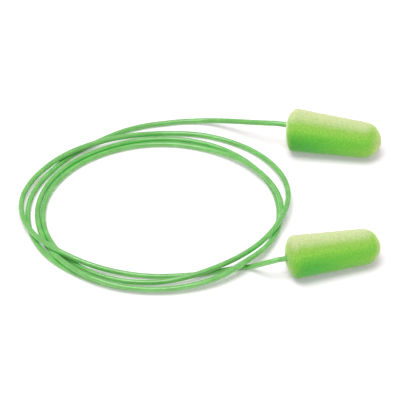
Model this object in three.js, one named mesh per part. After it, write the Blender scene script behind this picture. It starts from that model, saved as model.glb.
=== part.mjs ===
// A pair of corded foam ear plugs, laid on a table: two tapered foam plugs on the two ends of one
// thin vinyl cord, which lies between them in a loose coil.
//
// Millimetres, +Z up. The origin is on the table, midway between the two plugs. +X runs from the
// coil towards the plugs, and +Y from the front plug towards the rear plug.

import * as THREE from 'three';

// ---- driving dimensions ------------------------------------------------------------------------

const GAP = 0.3;                    // clearance left between touching pieces

const PLUG_LENGTH = 27.3;           // from the middle of the domed base to the tip
const BASE_RADIUS = 6.2;            // where the dome of the base meets the tapered side
const BASE_DOME = 2.3;              // how far the base bulges out past its rim
const TIP_RADIUS = 5.2;             // ball that rounds the tip
const DOME_FULLNESS = 0.7;          // 0.5 bulges like a ball, and 1 like a shallow dish

const CORD_RADIUS = 0.75;
const BORE_RADIUS = CORD_RADIUS + GAP;
const GLUE_WALL = 0.6;
const GLUE_START = 5.4;             // depths below the middle of the base
const GLUE_END = 9.4;
const CHAMBER_RADIUS = BORE_RADIUS + GLUE_WALL + GAP;
const STUB_LENGTH = 2.0;            // cord end that stands out of the plug, up to the bend

const COIL_OUTER_RADIUS = 38.2;
const COIL_INNER_RADIUS = 26.3;
const COIL_HEIGHT = 4.5;            // three cords lie on each other at the highest crossing
const COIL_EDGE_RADIUS = 1.2;

const PLUG_SIDES = 24;
const CORD_SIDES = 8;
const COIL_SIDES = 64;

// Places are measured from the centre of the cord's turns, then the whole is shifted to the origin.
const TURNS_CENTRE = new THREE.Vector3(-50, 1.3, 0);
const COIL_CENTRE = [0, -1];
// entry is where the cord goes into a plug's base: sideways and upwards from its middle.
const REAR_PLUG = { x: 36.85, y: 26.75, yaw: -9.2, entry: [0.6, 1.05] };
const FRONT_PLUG = { x: 36.65, y: -29.8, yaw: 16.4, entry: [0, 0] };

// The cord leaves each plug along its axis, sinks to the table and joins the coil.
const REAR_TAIL = [
  [34.24, 27.78, 7.51], [32.3, 28.2, 7.25], [29.5, 29.3, 6.5], [26.7, 30.75, 5.5], [23.9, 32.25, 4.45],
  [21.1, 33.75, 3.4], [18.3, 35.1, 2.4], [15.4, 36.1, 1.6], [12.6, 36.7, 1.1], [11.0, 36.8, 0.9],
];
const FRONT_TAIL = [
  [33.97, -30.59, 6.46], [32.9, -30.8, 6.25], [31.8, -30.7, 5.75], [30.7, -30.2, 4.95],
  [29.7, -29.5, 4.05], [28.95, -28.85, 3.25],
];

// ---- materials ---------------------------------------------------------------------------------

const material = (name, color, roughness) =>
  Object.assign(new THREE.MeshStandardMaterial({ color, roughness, metalness: 0 }), { name });

const foam = () => material('foam', 0x9ed65a, 0.95);
const vinyl = () => material('vinyl', 0x6cc262, 0.3);
const glue = () => material('glue', 0xd8d2a8, 0.4);

function named(name, geometry, surface) {
  const mesh = new THREE.Mesh(geometry, surface);
  mesh.name = name;
  return mesh;
}

// ---- shapes ------------------------------------------------------------------------------------

// Half-angle of the straight tapered side, which runs from the rim of the base to the tip's ball.
const tipCentre = PLUG_LENGTH - TIP_RADIUS;
const sideRun = tipCentre - BASE_DOME;
const taper = Math.atan2(BASE_RADIUS, sideRun) - Math.asin(TIP_RADIUS / Math.hypot(sideRun, BASE_RADIUS));

// A shape turned about X, from its half-section as [distance along X, radius] pairs.
function turned(section, sides) {
  const profile = section.map(([along, radius]) => new THREE.Vector2(radius, along));
  return new THREE.LatheGeometry(profile, sides).rotateZ(-Math.PI / 2);
}

// Moves each ring of a turned shape off its axis, by a share of the offset for each ring in turn.
function pushedOffAxis(shape, shares, [sideways, upwards]) {
  const places = shape.attributes.position;
  for (let i = 0; i < places.count; i++) {
    const share = shares[i % shares.length];
    places.setXYZ(i, places.getX(i), places.getY(i) + share * sideways, places.getZ(i) + share * upwards);
  }
  shape.computeVertexNormals();
  return shape;
}

function domedBase(steps) {
  const points = [];
  for (let i = 0; i <= steps; i++) {
    const radius = BORE_RADIUS + (BASE_RADIUS - BORE_RADIUS) * Math.sin((i / steps) * Math.PI / 2);
    const bulge = Math.max(0, 1 - (radius / BASE_RADIUS) ** 2) ** DOME_FULLNESS;
    points.push([BASE_DOME * (1 - bulge), radius]);
  }
  return points;
}

function roundTip(steps) {
  const points = [];
  for (let i = 0; i <= steps; i++) {
    const angle = Math.PI / 2 - taper - (i / steps) * (Math.PI / 2 - taper);
    const radius = i === steps ? 0 : TIP_RADIUS * Math.sin(angle);
    points.push([tipCentre + TIP_RADIUS * Math.cos(angle), radius]);
  }
  return points;
}

// The foam body, with a blind bore in its base that widens into the chamber holding the glue.
// The bore may lie off the middle of the base, which stays round at its rim.
function foamBody(entry) {
  const boreEnd = GLUE_END + GAP;
  const boreStep = GLUE_START - GAP;
  const bore = [[boreEnd, 0], [boreEnd, CHAMBER_RADIUS], [boreStep, CHAMBER_RADIUS], [boreStep, BORE_RADIUS]];
  const base = domedBase(7);
  const tip = roundTip(7);
  const baseShares = base.map(([, radius]) => (BASE_RADIUS - radius) / (BASE_RADIUS - BORE_RADIUS));
  const shares = [...bore.map(() => 1), ...baseShares, ...tip.map(() => 0)];
  return pushedOffAxis(turned([...bore, ...base, ...tip], PLUG_SIDES), shares, entry);
}

function glueBead() {
  const outer = BORE_RADIUS + GLUE_WALL;
  const ring = [[GLUE_START, BORE_RADIUS], [GLUE_START, outer], [GLUE_END, outer], [GLUE_END, BORE_RADIUS]];
  return turned([...ring, ring[0]], PLUG_SIDES / 2);
}

// The straight end of the cord that is glued into the plug.
function cordEnd() {
  const length = STUB_LENGTH + GLUE_END;
  const rod = new THREE.CylinderGeometry(CORD_RADIUS, CORD_RADIUS, length, CORD_SIDES);
  return rod.rotateZ(-Math.PI / 2).translate(length / 2 - STUB_LENGTH, 0, 0);
}

function cordTail(route, steps) {
  const section = new THREE.Shape();
  for (let i = 0; i < CORD_SIDES; i++) {
    const angle = (i / CORD_SIDES) * 2 * Math.PI;
    const corner = [CORD_RADIUS * Math.cos(angle), CORD_RADIUS * Math.sin(angle)];
    if (i === 0) section.moveTo(...corner);
    else section.lineTo(...corner);
  }
  const extrudePath = new THREE.CatmullRomCurve3(route.map((point) => new THREE.Vector3(...point)));
  return new THREE.ExtrudeGeometry(section, { steps, extrudePath });
}

// The outer shape of the coil: a flat ring with rounded edges.
function coilRing() {
  const inner = COIL_INNER_RADIUS + COIL_EDGE_RADIUS;
  const outer = COIL_OUTER_RADIUS - COIL_EDGE_RADIUS;
  const low = COIL_EDGE_RADIUS;
  const high = COIL_HEIGHT - COIL_EDGE_RADIUS;
  const corners = [[outer, low, -90], [outer, high, 0], [inner, high, 90], [inner, low, 180]];
  const arcSteps = 2;
  const profile = [];
  for (const [radius, height, start] of corners) {
    for (let i = 0; i <= arcSteps; i++) {
      const angle = THREE.MathUtils.degToRad(start + (i / arcSteps) * 90);
      profile.push(new THREE.Vector2(
        radius + COIL_EDGE_RADIUS * Math.cos(angle), height + COIL_EDGE_RADIUS * Math.sin(angle)));
    }
  }
  profile.push(profile[0].clone());
  return new THREE.LatheGeometry(profile, COIL_SIDES).rotateX(Math.PI / 2);
}

// ---- assembly ----------------------------------------------------------------------------------

// A plug lies on its side, so its axis slopes down towards the tip by the taper of its side.
function earPlug(side, place) {
  const bonded = new THREE.Group();
  bonded.add(
    named(`${side}_glue_bead`, glueBead(), glue()),
    named(`${side}_cord_end`, cordEnd(), vinyl()),
  );
  bonded.position.set(0, ...place.entry);
  const plug = new THREE.Group();
  plug.add(named(`${side}_foam_plug`, foamBody(place.entry), foam()), bonded);
  const axisHeight = BASE_RADIUS * Math.cos(taper) + BASE_DOME * Math.sin(taper);
  plug.position.set(place.x, place.y, axisHeight);
  plug.rotation.set(0, taper, THREE.MathUtils.degToRad(place.yaw), 'ZYX');
  return plug;
}

const coil = named('cord_coil', coilRing(), vinyl());
coil.position.set(...COIL_CENTRE, 0);

const corded = new THREE.Group();
corded.add(
  earPlug('rear', REAR_PLUG),
  earPlug('front', FRONT_PLUG),
  named('rear_cord_tail', cordTail(REAR_TAIL, 9), vinyl()),
  named('front_cord_tail', cordTail(FRONT_TAIL, 4), vinyl()),
  coil,
);
corded.position.copy(TURNS_CENTRE);

export default corded;
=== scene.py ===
"""Looks of a pair of corded foam ear plugs: two tapered foam plugs on the ends of one thin,
translucent vinyl cord that lies in a loose coil.

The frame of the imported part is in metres: +Z up from the table, +X from the coil towards the plugs'
tips and +Y from the front plug towards the rear plug. The sizes and places of the cord and the plugs
are in millimetres here, with the places counted from the centre of the cord's turns, and in_frame()
moves them into the frame.
"""

import math

import bpy
import numpy as np
from mathutils import Matrix, Vector, noise


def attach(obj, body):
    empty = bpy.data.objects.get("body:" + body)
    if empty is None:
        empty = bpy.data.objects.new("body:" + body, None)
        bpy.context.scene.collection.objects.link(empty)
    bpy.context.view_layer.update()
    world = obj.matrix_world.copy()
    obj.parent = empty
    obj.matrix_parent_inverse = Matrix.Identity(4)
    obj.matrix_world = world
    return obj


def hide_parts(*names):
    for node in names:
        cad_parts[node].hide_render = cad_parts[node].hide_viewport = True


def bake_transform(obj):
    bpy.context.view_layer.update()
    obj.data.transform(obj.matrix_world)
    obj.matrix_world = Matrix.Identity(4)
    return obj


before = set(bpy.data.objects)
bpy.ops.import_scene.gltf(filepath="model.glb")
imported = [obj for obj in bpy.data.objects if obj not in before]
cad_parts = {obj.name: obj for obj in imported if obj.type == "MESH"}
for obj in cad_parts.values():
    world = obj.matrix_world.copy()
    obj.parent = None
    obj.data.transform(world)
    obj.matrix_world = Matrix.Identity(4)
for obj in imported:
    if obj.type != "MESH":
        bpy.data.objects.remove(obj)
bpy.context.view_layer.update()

MM = 0.001
TURNS_CENTRE = np.array([-50.0, 1.3, 0.0])

# ---- cord: sizes and route -----------------------------------------------------------------------

CORD_RADIUS = 0.75
CORD_SIDES = 16
CORD_STEP = 0.45                # distance between the rings of the cord's tube
REAR_LEAD_LENGTH = 59.4         # free cord from the rear plug to the first turn
FRONT_LEAD_LENGTH = 28.6        # free cord from the last turn to the front plug
GLUED_LENGTH = 9.0              # cord hidden inside each plug
STRAIGHT_DEPTHS = (GLUED_LENGTH, 6, 3, 0, -1.9)     # straight cord, from inside a plug to just outside
SMOOTHING_PASSES = 7

# Outside each plug the cord sinks to the table and joins the turns. Both lists run on from the rear
# plug towards the front plug.
REAR_TAIL = [
    (34.24, 27.78, 7.51), (32.3, 28.2, 7.25), (29.5, 29.3, 6.5), (26.7, 30.75, 5.5),
    (23.9, 32.25, 4.45), (21.1, 33.75, 3.4), (18.3, 35.1, 2.4), (15.4, 36.1, 1.6),
    (12.6, 36.7, 1.1), (11.0, 36.8, 0.9), (7.0, 36.7, 0.75),
]
FRONT_TAIL = [
    (21.4, -27.7, 0.75), (24.0, -27.1, 0.75), (25.6, -27.1, 0.85), (26.9, -27.5, 1.4),
    (28.0, -28.1, 2.3), (28.95, -28.85, 3.25), (29.7, -29.5, 4.05), (30.7, -30.2, 4.95),
    (31.8, -30.7, 5.75), (32.9, -30.8, 6.25), (33.97, -30.59, 6.46),
]

# How the turns wander: (degrees round from +X, counted on from turn to turn, distance from the
# centre of the turns, height of the cord's middle). A strand lies on the table at a height of one
# cord radius and climbs over the strands that it crosses.
TURNS = [
    (86, 36.0, 0.75), (100, 34.3, 0.75), (120, 32.2, 0.75), (150, 32.5, 0.75),
    (180, 35.4, 0.75), (210, 37.1, 0.75), (240, 36.8, 0.75), (270, 36.5, 0.75),
    (300, 36.9, 1.8), (314, 36.6, 2.4), (330, 36.1, 0.9), (360, 34.6, 0.75),
    (390, 32.4, 0.75), (420, 30.5, 0.75), (450, 28.9, 0.75), (480, 28.5, 0.75),
    (510, 30.3, 0.75), (540, 32.7, 0.75), (570, 34.9, 0.8), (583, 36.5, 2.25),
    (600, 37.4, 2.1), (630, 37.7, 1.75), (660, 38.0, 2.8), (674, 37.6, 3.5),
    (690, 36.9, 2.2), (720, 35.2, 2.2), (750, 31.1, 2.2), (780, 28.2, 0.9),
    (810, 26.7, 0.75), (840, 26.7, 0.75), (870, 28.4, 0.75), (900, 31.0, 0.75),
    (930, 33.2, 0.75), (960, 34.1, 0.75), (990, 34.0, 1.2), (1020, 33.7, 2.5),
    (1050, 35.5, 3.4), (1062, 36.3, 3.7), (1080, 37.4, 3.1), (1110, 37.1, 1.1),
    (1140, 34.1, 0.75), (1170, 31.1, 0.95), (1200, 30.2, 2.3), (1230, 33.6, 2.1),
    (1260, 37.5, 1.7), (1285, 36.8, 2.7), (1298, 35.3, 3.1), (1320, 32.3, 1.8),
    (1350, 30.9, 0.75), (1365, 31.6, 0.75), (1380, 33.5, 0.75),
]
TURN_STEP = 5.0                 # along the list above, where an angle counts like a length

# ---- plugs: sizes and places ---------------------------------------------------------------------

PLUG_LENGTH = 27.3
BASE_RADIUS = 6.2
BASE_DOME = 2.8
TIP_RADIUS = 5.2
DOME_FULLNESS = 0.5
CHAMBER_RADIUS = 1.95           # room for the glue bead inside the foam
CHAMBER_START = 5.1
CHAMBER_END = 9.7
BORE_RADIUS = CORD_RADIUS + 0.05
MOUTH_RADIUS = 1.15             # dimple where the cord enters the foam
MOUTH_DEPTH = 0.5
MOUTH_STEPS = 8
DOME_STEPS = 40
TIP_STEPS = 30
AXIS_RADIUS = 0.02              # stands for a point on the axis, so that a ring never shrinks to one
PLUG_SIDES = 216
PLUG_STEP = 0.18
# entry is where the cord goes into the base: sideways and upwards from its middle
REAR_PLUG = {"x": 36.85, "y": 26.75, "yaw": -9.2, "entry": (0.6, 1.05)}
FRONT_PLUG = {"x": 36.65, "y": -29.8, "yaw": 16.4, "entry": (0.0, 0.0)}

# The side runs straight from the rim of the base to the ball of the tip, which it touches. Lying on
# that side, the plug has the middle of its base at axis_height.
tip_centre = PLUG_LENGTH - TIP_RADIUS
side_run = tip_centre - BASE_DOME
taper = math.atan2(BASE_RADIUS, side_run) - math.asin(TIP_RADIUS / math.hypot(side_run, BASE_RADIUS))
axis_height = BASE_RADIUS * math.cos(taper) + BASE_DOME * math.sin(taper)

# the foam's uneven skin: (size, height) of its lumps and of its grain
LUMPS = (3.5, 0.06)
GRAIN = (0.4, 0.02)
SKIN_INSET = 0.06               # how far the middle of the skin lies inside the plain shape
SKIN_RISE = 0.05                # the most that a lump rises from there
CALM_RADIUS = 1.5               # closer to the axis than this the skin moves less

# ---- camera --------------------------------------------------------------------------------------

VIEW_TARGET = Vector((-0.03736, 0.0044, 0.0))       # in the frame, in metres
VIEW_WIDTH = 0.11236            # metres seen across the target
VIEW_ELEVATION = math.radians(40)
LENS = 1000.0
SENSOR = 36.0


def add_camera():
    """A camera far off, so that the view has almost no perspective."""
    data = bpy.data.cameras.new("camera")
    data.lens = LENS
    data.sensor_width = SENSOR
    distance = VIEW_WIDTH * LENS / SENSOR
    data.clip_start = distance * 0.05
    data.clip_end = distance * 20
    camera = bpy.data.objects.new("camera", data)
    back = Vector((0, -math.cos(VIEW_ELEVATION), math.sin(VIEW_ELEVATION)))
    camera.location = VIEW_TARGET + back * distance
    camera.rotation_euler = (math.pi / 2 - VIEW_ELEVATION, 0, 0)
    bpy.context.scene.collection.objects.link(camera)
    bpy.context.scene.camera = camera


add_camera()

# ---- helpers -------------------------------------------------------------------------------------


def in_frame(points):
    """Points from the centre of the turns, in millimetres, as points of the frame."""
    return (np.asarray(points, float) + TURNS_CENTRE) * MM


def distances_along(line):
    """How far along a line each of its points lies."""
    return np.concatenate([[0], np.cumsum(np.linalg.norm(np.diff(line, axis=0), axis=1))])


def smooth_line(stops, step):
    """Points about step apart on a smooth line through the stops."""
    stops = np.array(stops, float)
    at = distances_along(stops)
    gap = np.diff(at)[:, None]
    slope = np.diff(stops, axis=0) / gap
    tangent = np.empty_like(stops)
    tangent[0] = slope[0]
    tangent[-1] = slope[-1]
    tangent[1:-1] = (slope[1:] * gap[:-1] + slope[:-1] * gap[1:]) / (gap[:-1] + gap[1:])
    spots = np.linspace(0, at[-1], round(at[-1] / step) + 1)
    before = np.clip(np.searchsorted(at, spots, side="right") - 1, 0, len(gap) - 1)
    after = before + 1
    width = gap[before]
    share = (spots - at[before])[:, None] / width
    rest = 1 - share
    start = (1 + 2 * share) * rest ** 2 * stops[before] + share * rest ** 2 * width * tangent[before]
    end = share * share * (3 - 2 * share) * stops[after] - share * share * rest * width * tangent[after]
    return start + end


def new_mesh(name, vertices, faces, material):
    mesh = bpy.data.meshes.new(name)
    mesh.from_pydata([tuple(vertex) for vertex in vertices], [], faces)
    mesh.update()
    mesh.shade_smooth()
    mesh.materials.append(material)
    piece = bpy.data.objects.new(name, mesh)
    bpy.context.scene.collection.objects.link(piece)
    return piece


def faces_over_rings(rings, sides):
    """Faces over rings of vertices that follow each other, closed by a flat face at both ends."""
    faces = []
    last = (rings - 1) * sides
    for ring in range(0, last, sides):
        after = ring + sides
        for spot in range(sides):
            beside = (spot + 1) % sides
            faces.append((ring + spot, ring + beside, after + beside, after + spot))
    faces.append(tuple(range(sides - 1, -1, -1)))
    faces.append(tuple(range(last, last + sides)))
    return faces


def tube(name, line, radius, sides, material):
    """A closed round tube along a line, with a ring at each of its points."""
    tangents = np.gradient(line, axis=0)
    tangents /= np.linalg.norm(tangents, axis=1)[:, None]
    up = np.array([0.0, 0.0, 1.0])
    angles = np.arange(sides) * 2 * np.pi / sides
    vertices = []
    for point, tangent in zip(line, tangents):
        side = np.cross(tangent, up)
        side /= np.linalg.norm(side)
        normal = np.cross(side, tangent)
        spokes = np.outer(np.cos(angles), side) + np.outer(np.sin(angles), normal)
        vertices.extend(point + radius * spokes)
    return new_mesh(name, vertices, faces_over_rings(len(line), sides), material)


# ---- materials -----------------------------------------------------------------------------------


def new_material(name):
    """A new material, its nodes, its links and its shader."""
    material = bpy.data.materials.new(name)
    material.use_nodes = True
    nodes = material.node_tree.nodes
    return material, nodes, material.node_tree.links, nodes["Principled BSDF"]


def noise_node(nodes, links, coordinates, scale, detail, roughness=0.5):
    node = nodes.new("ShaderNodeTexNoise")
    node.inputs["Scale"].default_value = scale
    node.inputs["Detail"].default_value = detail
    node.inputs["Roughness"].default_value = roughness
    links.new(coordinates, node.inputs["Vector"])
    return node


def colour_ramp(nodes, links, source, stops):
    ramp = nodes.new("ShaderNodeValToRGB")
    elements = ramp.color_ramp.elements
    elements[0].position, elements[0].color = stops[0][0], (*stops[0][1], 1)
    elements[1].position, elements[1].color = stops[1][0], (*stops[1][1], 1)
    for position, colour in stops[2:]:
        elements.new(position).color = (*colour, 1)
    links.new(source, ramp.inputs["Fac"])
    return ramp


def bump_node(nodes, links, height, strength, distance):
    bump = nodes.new("ShaderNodeBump")
    bump.inputs["Strength"].default_value = strength
    bump.inputs["Distance"].default_value = distance
    links.new(height, bump.inputs["Height"])
    return bump


# colours of the foam's flanks at shares of the plug's length, from its base to its tip, holding painted
# light and shade: a painted pale rim at the edge of the base, painted shade just above the base, and
# painted light that grows paler towards the tip
FLANK_PAINTED_LIGHT_AND_SHADE = [
    (0.02, (0.24, 0.55, 0.04)), (0.10, (0.095, 0.505, 0.05)), (0.25, (0.085, 0.525, 0.052)),
    (0.55, (0.175, 0.61, 0.052)), (0.80, (0.25, 0.635, 0.064)), (0.90, (0.32, 0.66, 0.085)),
    (0.97, (0.40, 0.67, 0.13)),
]
# painted light on its upper side: colours by the lift that add_shares gives, paler higher up
TOP_PAINTED_LIGHT = [
    (0.38, (0.205, 0.63, 0.063)), (0.64, (0.295, 0.65, 0.078)), (0.84, (0.33, 0.60, 0.095)),
    (1.00, (0.51, 0.61, 0.28)),
]
FLANK_ENDS = 0.64               # lift at which the upper side's painted light has taken over
# painted light: a pale rim glow painted over the tip
TIP_PAINTED_LIGHT = (0.56, 0.74, 0.24)
TIP_LIGHT_STARTS = 0.885              # share of the length at which the painted light on the tip begins
# painted shade on its underside: how much darker the colour gets there, and the lifts between which that
# fades out
UNDER_PAINTED_SHADE = [(0.0, (0.50, 0.62, 0.65)), (1.0, (1.0, 1.0, 1.0))]
UNDER_LIFTS = (-0.7, -0.1)
PAINTED_LIGHT_BEYOND_TOP = 30.0          # degrees by which the painted light of the upper side, at its palest, runs on down the back
BASE_LIFT = 0.3                 # lift in the middle of the base, which sets how much painted top light it gets


def blend_colours(nodes, links, blend_type, factor, first, second):
    """Two colours blended into one, fully where there is no factor."""
    mix = nodes.new("ShaderNodeMix")
    mix.data_type = "RGBA"
    mix.blend_type = blend_type
    if factor is None:
        mix.inputs["Factor"].default_value = 1.0
    else:
        links.new(factor, mix.inputs["Factor"])
    links.new(first, mix.inputs["A"])
    links.new(second, mix.inputs["B"])
    return mix.outputs["Result"]


def vinyl_material():
    """Glossy translucent vinyl, with painted shade: darker and a more saturated green where strands lie
    on or beside each other.
    """
    material, nodes, links, shader = new_material("translucent_green_vinyl")
    coordinates = nodes.new("ShaderNodeTexCoord").outputs["Object"]
    cloud = noise_node(nodes, links, coordinates, 260, 2)
    tint = colour_ramp(nodes, links, cloud.outputs["Fac"],
                       [(0.35, (0.20, 0.515, 0.145)), (0.65, (0.245, 0.58, 0.18))])
    # painted shade: an ambient-occlusion node darkens the colour, and turns it a deeper green, where
    # strands lie close
    painted_shade_occlusion = nodes.new("ShaderNodeAmbientOcclusion")
    painted_shade_occlusion.samples = 8
    painted_shade_occlusion.only_local = True
    painted_shade_occlusion.inputs["Distance"].default_value = 2 * CORD_RADIUS * MM
    painted_crevice_shade = colour_ramp(nodes, links, painted_shade_occlusion.outputs["AO"],
                           [(0.35, (0.09, 1.25, 0.36)), (0.72, (1.0, 1.0, 1.0))])
    crevice_shaded_tint = blend_colours(nodes, links, "MULTIPLY", None, tint.outputs["Color"],
                             painted_crevice_shade.outputs["Color"])
    links.new(crevice_shaded_tint, shader.inputs["Base Color"])
    shader.inputs["Roughness"].default_value = 0.16
    shader.inputs["IOR"].default_value = 1.5
    shader.inputs["Specular IOR Level"].default_value = 0.65
    shader.inputs["Subsurface Weight"].default_value = 0.85
    shader.inputs["Subsurface Radius"].default_value = (0.35, 1.0, 0.3)
    shader.inputs["Subsurface Scale"].default_value = 0.0012
    ripple = noise_node(nodes, links, coordinates, 500, 2)
    bump = bump_node(nodes, links, ripple.outputs["Fac"], 0.08, 0.00004)
    links.new(bump.outputs["Normal"], shader.inputs["Normal"])
    return material


def foam_material():
    """Fine open-pored foam, with painted light and shade in its colour: a painted pale top and tip, and
    painted deeper shade low down and near the base.
    """
    material, nodes, links, shader = new_material("slow_recovery_foam")
    coordinates = nodes.new("ShaderNodeTexCoord").outputs["Object"]
    along = nodes.new("ShaderNodeAttribute")
    along.attribute_name = "along"
    # painted light and shade along the length: a pale rim at the base's edge, shade just above the base,
    # paler towards the tip
    flank = colour_ramp(nodes, links, along.outputs["Fac"], FLANK_PAINTED_LIGHT_AND_SHADE)
    # painted light: by its lift the upper side takes paler colours, as if lit from above and behind
    lift = nodes.new("ShaderNodeAttribute")
    lift.attribute_name = "lift"
    top = colour_ramp(nodes, links, lift.outputs["Fac"], TOP_PAINTED_LIGHT)
    rise = nodes.new("ShaderNodeMapRange")
    rise.inputs["From Max"].default_value = FLANK_ENDS
    links.new(lift.outputs["Fac"], rise.inputs["Value"])
    skin = blend_colours(nodes, links, "MIX", rise.outputs["Result"], flank.outputs["Color"],
                         top.outputs["Color"])
    # painted light: the tip fades into a pale painted rim glow
    tip_light_fade = nodes.new("ShaderNodeMapRange")
    tip_light_fade.interpolation_type = "SMOOTHSTEP"
    tip_light_fade.inputs["From Min"].default_value = TIP_LIGHT_STARTS
    links.new(along.outputs["Fac"], tip_light_fade.inputs["Value"])
    painted_tip_light = nodes.new("ShaderNodeRGB")
    painted_tip_light.outputs["Color"].default_value = (*TIP_PAINTED_LIGHT, 1)
    skin = blend_colours(nodes, links, "MIX", tip_light_fade.outputs["Result"], skin, painted_tip_light.outputs["Color"])
    # painted shade: the colour darkens towards the underside
    under_shade_fade = nodes.new("ShaderNodeMapRange")
    under_shade_fade.inputs["From Min"].default_value = UNDER_LIFTS[0]
    under_shade_fade.inputs["From Max"].default_value = UNDER_LIFTS[1]
    links.new(lift.outputs["Fac"], under_shade_fade.inputs["Value"])
    painted_under_shade = colour_ramp(nodes, links, under_shade_fade.outputs["Result"], UNDER_PAINTED_SHADE)
    skin = blend_colours(nodes, links, "MULTIPLY", None, skin, painted_under_shade.outputs["Color"])
    pores = nodes.new("ShaderNodeTexVoronoi")
    pores.inputs["Scale"].default_value = 2300
    links.new(coordinates, pores.inputs["Vector"])
    dots = colour_ramp(nodes, links, pores.outputs["Distance"],
                       [(0.14, (0.62, 0.78, 0.55)), (0.34, (1.0, 1.0, 1.0))])
    mottle = noise_node(nodes, links, coordinates, 3200, 2, 0.7)
    grain = colour_ramp(nodes, links, mottle.outputs["Fac"],
                        [(0.36, (0.80, 0.87, 0.72)), (0.60, (1.06, 1.04, 1.1))])
    dotted = blend_colours(nodes, links, "MULTIPLY", None, skin, dots.outputs["Color"])
    tint = blend_colours(nodes, links, "MULTIPLY", None, dotted, grain.outputs["Color"])
    links.new(tint, shader.inputs["Base Color"])
    shader.inputs["Roughness"].default_value = 0.7
    shader.inputs["Specular IOR Level"].default_value = 0.3
    shader.inputs["Subsurface Weight"].default_value = 0.5
    shader.inputs["Subsurface Radius"].default_value = (0.4, 1.0, 0.3)
    shader.inputs["Subsurface Scale"].default_value = 0.0008
    shader.inputs["Sheen Weight"].default_value = 1.0
    shader.inputs["Sheen Roughness"].default_value = 0.35
    shader.inputs["Sheen Tint"].default_value = (1.0, 1.0, 0.75, 1)
    bump = bump_node(nodes, links, pores.outputs["Distance"], 0.4, 0.00008)
    links.new(bump.outputs["Normal"], shader.inputs["Normal"])
    return material


def glue_material():
    """Cloudy, slightly uneven hot-melt glue."""
    material, nodes, links, shader = new_material("hot_melt_glue")
    coordinates = nodes.new("ShaderNodeTexCoord").outputs["Object"]
    cloud = noise_node(nodes, links, coordinates, 900, 3)
    tint = colour_ramp(nodes, links, cloud.outputs["Fac"],
                       [(0.35, (0.66, 0.60, 0.36)), (0.65, (0.76, 0.71, 0.47))])
    links.new(tint.outputs["Color"], shader.inputs["Base Color"])
    shader.inputs["Roughness"].default_value = 0.35
    shader.inputs["Subsurface Weight"].default_value = 0.5
    shader.inputs["Subsurface Scale"].default_value = 0.001
    bump = bump_node(nodes, links, cloud.outputs["Fac"], 0.3, 0.0001)
    links.new(bump.outputs["Normal"], shader.inputs["Normal"])
    return material


vinyl = vinyl_material()
foam = foam_material()
glue = glue_material()

# ---- cord ----------------------------------------------------------------------------------------


def plug_turn(place):
    """Turns a plug that points along +X to lie on its side on the table, its taper downwards."""
    return np.array(Matrix.Rotation(math.radians(place["yaw"]), 3, "Z") @ Matrix.Rotation(taper, 3, "Y"))


def at_plug(place, points):
    """Points given along a plug's axis, sideways and upwards, from the middle of its base."""
    return np.asarray(points, float) @ plug_turn(place).T + [place["x"], place["y"], axis_height]


def at_entry(place, depths):
    """Points on the line along which the cord runs into a plug, at depths below its base."""
    return at_plug(place, [(depth, *place["entry"]) for depth in depths])


def cord_route():
    """The whole cord, from its end inside the rear plug to its end inside the front plug."""
    turns = smooth_line(TURNS, TURN_STEP)
    angle = np.radians(turns[:, 0])
    coil = np.column_stack([turns[:, 1] * np.cos(angle), turns[:, 1] * np.sin(angle), turns[:, 2]])
    rear_end = at_entry(REAR_PLUG, STRAIGHT_DEPTHS)
    front_end = at_entry(FRONT_PLUG, STRAIGHT_DEPTHS[::-1])
    line = smooth_line(np.vstack([rear_end, REAR_TAIL, coil, FRONT_TAIL, front_end]), CORD_STEP)
    for _ in range(SMOOTHING_PASSES):
        line[1:-1] = (line[:-2] + 2 * line[1:-1] + line[2:]) / 4
    line[:, 2] = np.maximum(line[:, 2], CORD_RADIUS)
    return line


def add_cords():
    """Lays the one cord as three pieces in line: the two leads and the turns between them."""
    line = cord_route()
    along = distances_along(line)
    first = int(np.searchsorted(along, GLUED_LENGTH + REAR_LEAD_LENGTH))
    last = int(np.searchsorted(along, along[-1] - GLUED_LENGTH - FRONT_LEAD_LENGTH))
    routes = {"rear_cord_lead": line[:first + 1], "cord_turns": line[first:last + 1],
              "front_cord_lead": line[last:]}
    stands_for = {"rear_cord_lead": ("rear_cord_tail", "rear_cord_end"), "cord_turns": ("cord_coil",),
                  "front_cord_lead": ("front_cord_tail", "front_cord_end")}
    pieces = {}
    for name, route in routes.items():
        piece = tube(name, in_frame(route), CORD_RADIUS * MM, CORD_SIDES, vinyl)
        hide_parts(*stands_for[name])
        pieces[name] = piece
    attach(pieces["cord_turns"], "cord")
    for side, place in (("rear", REAR_PLUG), ("front", FRONT_PLUG)):
        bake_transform(pieces[f"{side}_cord_lead"])


add_cords()

# ---- foam plugs ----------------------------------------------------------------------------------


def dome_at(radius):
    """How far the base, at this distance from its middle, lies behind its middle."""
    return BASE_DOME * (1 - max(0.0, 1 - (radius / BASE_RADIUS) ** 2) ** DOME_FULLNESS)


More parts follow.
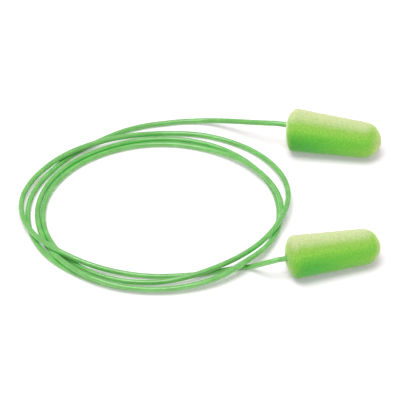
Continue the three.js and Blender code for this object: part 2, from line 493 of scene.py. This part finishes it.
def plug_section():
    """Half-section of a plug as (distance along the axis, radius), from the bottom of the bore to
    the tip, and how many of its points lie in the bore."""
    bore = [(CHAMBER_END, 0.05), (CHAMBER_END, CHAMBER_RADIUS), (CHAMBER_START, CHAMBER_RADIUS),
            (CHAMBER_START, BORE_RADIUS), (MOUTH_DEPTH + 0.4, BORE_RADIUS)]
    mouth = []
    for i in range(MOUTH_STEPS + 1):
        turn = i / MOUTH_STEPS * math.pi / 2
        radius = MOUTH_RADIUS - (MOUTH_RADIUS - BORE_RADIUS) * math.cos(turn)
        depth = MOUTH_DEPTH * (1 - math.sin(turn))
        mouth.append((dome_at(radius) + depth, radius))
    dome = []
    for i in range(1, DOME_STEPS + 1):
        turn = i / DOME_STEPS * math.pi / 2
        radius = MOUTH_RADIUS + (BASE_RADIUS - MOUTH_RADIUS) * math.sin(turn)
        dome.append((dome_at(radius), radius))
    tip = []
    for i in range(TIP_STEPS + 1):
        turn = (math.pi / 2 - taper) * (1 - i / TIP_STEPS)
        radius = max(TIP_RADIUS * math.sin(turn), AXIS_RADIUS)
        tip.append((tip_centre + TIP_RADIUS * math.cos(turn), radius))
    outline = np.array(mouth + dome + tip)
    along = distances_along(outline)
    even = np.linspace(0, along[-1], round(along[-1] / PLUG_STEP))
    skin = np.column_stack([np.interp(even, along, outline[:, 0]), np.interp(even, along, outline[:, 1])])
    return np.vstack([bore, skin]), len(bore)


def add_shares(piece, section, bore_points):
    """Gives each vertex of a plug its share of the length and its lift, which runs from -1 at the
    bottom of the flank to 1 at its top, stays 1 for PAINTED_LIGHT_BEYOND_TOP degrees down the back, and is
    BASE_LIFT in the middle of the base."""
    # the lift is the mask for the foam's painted light on its upper side and painted shade on its
    # underside
    turns = (np.arange(PLUG_SIDES) * 360 / PLUG_SIDES + 90) % 360 - 90
    slopes = np.interp(turns, (-90, 0, 90 - PAINTED_LIGHT_BEYOND_TOP, 90, 270), (-90, 0, 90, 90, 270))
    rise = np.sin(np.radians(slopes))
    lifts = []
    for i, (depth, radius) in enumerate(section):
        on_base = i <= bore_points or depth < BASE_DOME
        if on_base:
            full = BASE_RADIUS
        elif depth > tip_centre:
            full = TIP_RADIUS
        else:
            full = radius
        share = min(1.0, radius / full)
        middle = BASE_LIFT * math.sqrt(1 - share * share) if on_base else 0.0
        lifts.append(share * rise + middle)
    along = np.repeat(section[:, 0] / PLUG_LENGTH, PLUG_SIDES)
    for name, numbers in (("along", along), ("lift", np.concatenate(lifts))):
        piece.data.attributes.new(name, "FLOAT", "POINT").data.foreach_set("value", numbers)


def shift_at(i, along, radius, bore_points):
    """How much of the bore's shift a point of the section takes: all of it in the bore, and less
    and less towards the rim of the base, which stays round."""
    if i <= bore_points:
        return 1.0
    return max(0.0, 1 - radius / BASE_RADIUS) if along < BASE_DOME + 1 else 0.0


def roughen(ring, radius, seed):
    """Moves the points of a ring towards the axis or away from it, by the foam's lumps and grain."""
    for point in ring:
        shifted = Vector(point) + Vector((seed, 0, 0))
        rise = sum(noise.noise(shifted / size) * height for size, height in (LUMPS, GRAIN))
        point[1:] *= 1 - (SKIN_INSET - min(rise, SKIN_RISE)) / max(radius, CALM_RADIUS)


def add_plug(side, place, seed):
    """One foam plug in its place. The seed shifts the pattern of its lumps."""
    section, bore_points = plug_section()
    angles = np.arange(PLUG_SIDES) * 2 * np.pi / PLUG_SIDES
    circle = np.array([np.cos(angles), np.sin(angles)])
    entry = np.array([0, *place["entry"]])
    rings = []
    for i, (along, radius) in enumerate(section):
        ring = np.column_stack([np.full(PLUG_SIDES, along), *(radius * circle)])
        if i > bore_points:
            roughen(ring, radius, seed)
        rings.append(ring + entry * shift_at(i, along, radius, bore_points))
    vertices = in_frame(at_plug(place, np.vstack(rings)))
    faces = faces_over_rings(len(section), PLUG_SIDES)
    piece = new_mesh(f"{side}_plug_foam", vertices, faces, foam)
    add_shares(piece, section, bore_points)
    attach(piece, f"{side}_plug")
    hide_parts(f"{side}_foam_plug")


add_plug("rear", REAR_PLUG, 11.0)
add_plug("front", FRONT_PLUG, 47.0)

for side in ("rear", "front"):
    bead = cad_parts[f"{side}_glue_bead"]
    bead.data.materials.clear()
    bead.data.materials.append(glue)

# ---- floor and light -----------------------------------------------------------------------------


def add_floor():
    """A pale table top with a faint light of its own, which keeps the shadows light."""
    material, nodes, links, shader = new_material("white_table")
    shader.inputs["Base Color"].default_value = (0.90, 0.83, 0.89, 1)
    shader.inputs["Roughness"].default_value = 0.9
    shader.inputs["Specular IOR Level"].default_value = 0.0
    shader.inputs["Emission Color"].default_value = (1.0, 0.94, 1.0, 1)
    shader.inputs["Emission Strength"].default_value = 0.25
    half = 3.0                  # metres
    corners = [(-half, -half, 0), (half, -half, 0), (half, half, 0), (-half, half, 0)]
    new_mesh("table_top", corners, [(0, 1, 2, 3)], material)


def add_sun(name, from_direction, energy, spread):
    """A sun that shines from a direction, its disc spread degrees across."""
    data = bpy.data.lights.new(name, "SUN")
    data.energy = energy
    data.angle = math.radians(spread)
    sun = bpy.data.objects.new(name, data)
    sun.rotation_mode = "QUATERNION"
    sun.rotation_quaternion = Vector(from_direction).to_track_quat("Z", "Y")
    bpy.context.scene.collection.objects.link(sun)
    return sun


def add_light():
    """Soft light from all round and above, and a light from behind that falls on the foam only."""
    world = bpy.data.worlds.new("studio")
    world.use_nodes = True
    world.node_tree.nodes["Background"].inputs["Color"].default_value = (1, 1, 1, 1)
    world.node_tree.nodes["Background"].inputs["Strength"].default_value = 0.42
    bpy.context.scene.world = world
    add_sun("key", (-0.16, -0.12, 1.0), 2.15, 42)
    back = add_sun("back", (-0.2, 1.0, 0.75), 1.6, 50)
    back.data.color = (1.0, 0.82, 1.0)
    lit = bpy.data.collections.new("lit_from_behind")
    for side in ("rear", "front"):
        lit.objects.link(bpy.data.objects[f"{side}_plug_foam"])
    back.light_linking.receiver_collection = lit


add_floor()
add_light()
bpy.context.scene.view_settings.view_transform = "Standard"
